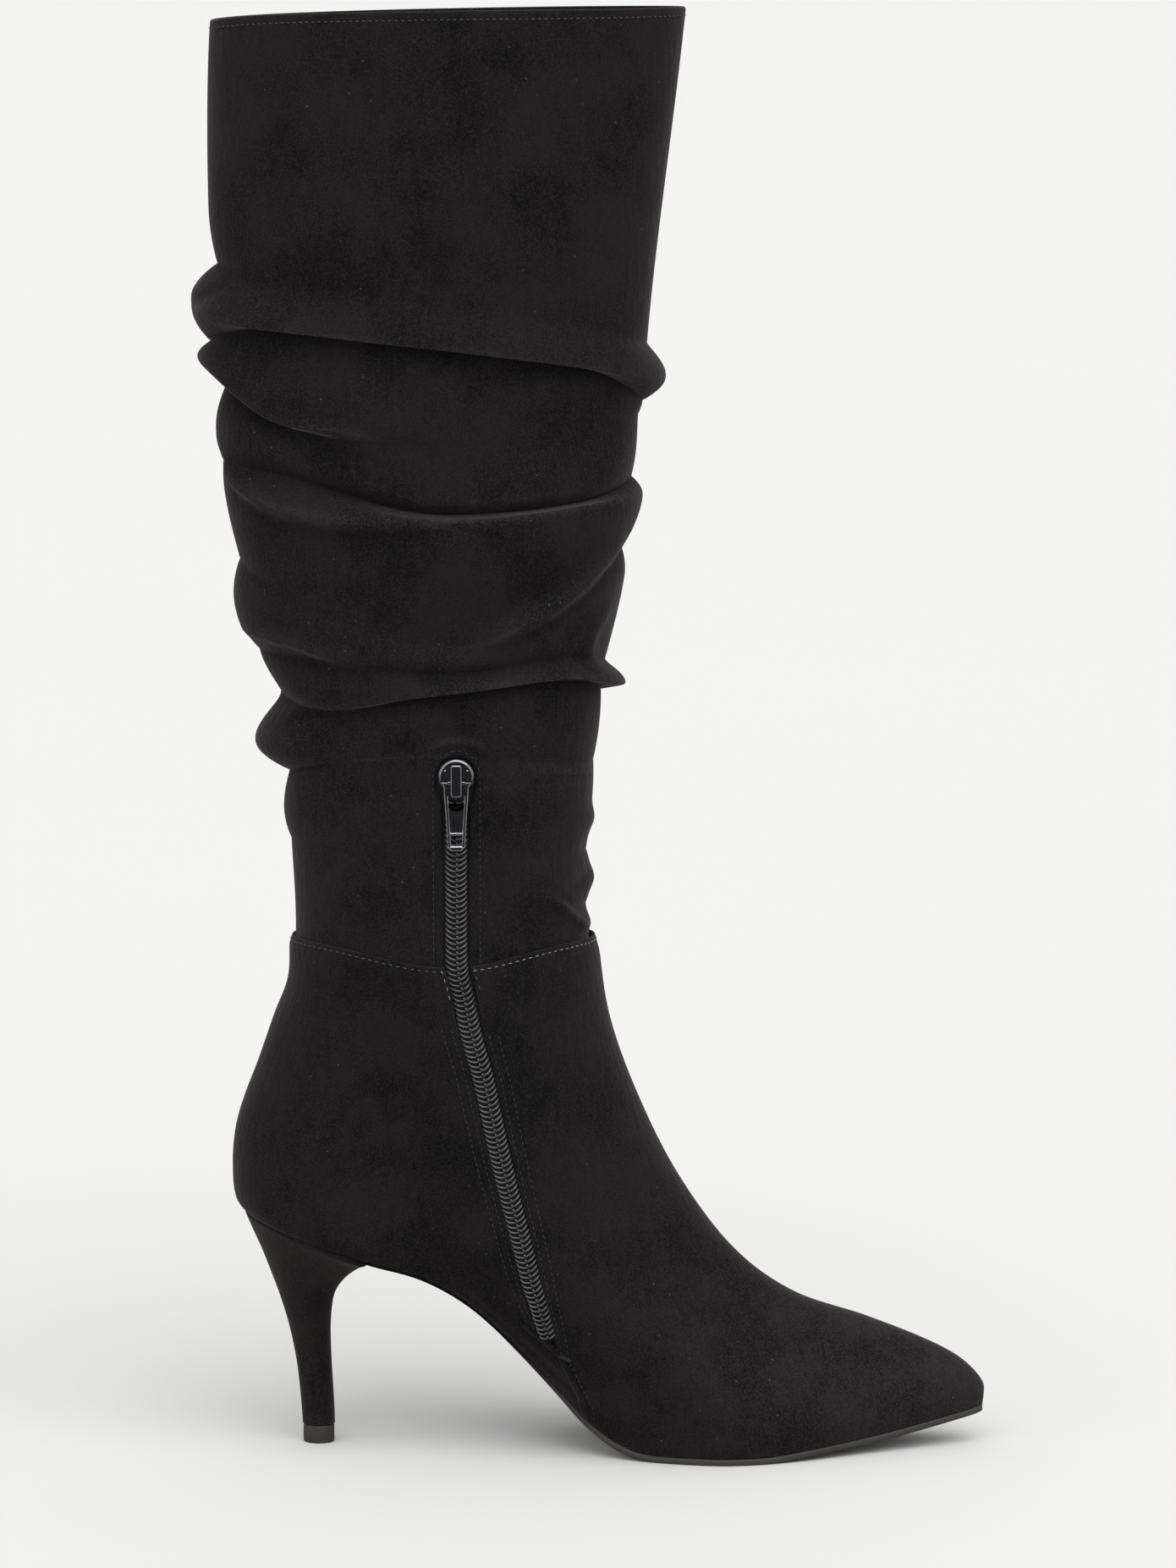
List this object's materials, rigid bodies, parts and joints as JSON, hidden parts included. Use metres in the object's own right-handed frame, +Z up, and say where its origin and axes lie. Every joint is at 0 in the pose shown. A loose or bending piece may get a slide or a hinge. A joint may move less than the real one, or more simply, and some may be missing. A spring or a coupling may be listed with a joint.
{
  "type": "slouch boot",
  "caption": "Knee-high suede slouch boot for the left foot: pointed toe, slim covered heel, gathered leg and a half zip on the inner side.",
  "frame": {"origin": "centre of the heel tip's ground face, on the floor that the boot stands on", "axes": "+X towards the toe, +Y towards the outer side of the leg (the zip is on the -Y side), +Z up the leg"},
  "size_m": [0.2629, 0.0786, 0.4781],
  "materials": {
    "foot_suede": "matte black suede",
    "leg_suede": "matte black suede",
    "insole_lining": "matte black sock lining on a board",
    "outsole_resin": "dark grey-brown, semi-matte",
    "heel_suede": "plastic core covered in black suede",
    "tip_rubber": "dark grey, satin",
    "zip_tape_woven": "woven black tape",
    "zip_coil": "black nylon coil, satin",
    "slider_metal": "gloss black over metal",
    "pull_metal": "gloss black over metal"
  },
  "bodies": {
    "boot": {"foot_upper": "foot_suede", "shaft": "leg_suede", "insole": "insole_lining", "outsole": "outsole_resin", "heel": "heel_suede", "heel_tip": "tip_rubber", "zip_tape": "zip_tape_woven", "zip_chain": "zip_coil", "zip_slider": "slider_metal"},
    "pull_tab": {"zip_pull": "pull_metal"}
  },
  "joints": [
    {"name": "pull_swing", "type": "hinge", "parent": "boot", "child": "pull_tab", "pos_m": [0.04719, -0.03568, 0.22813], "axis": [-1, 0, 0], "range_deg": [0, 150]}
  ]
}
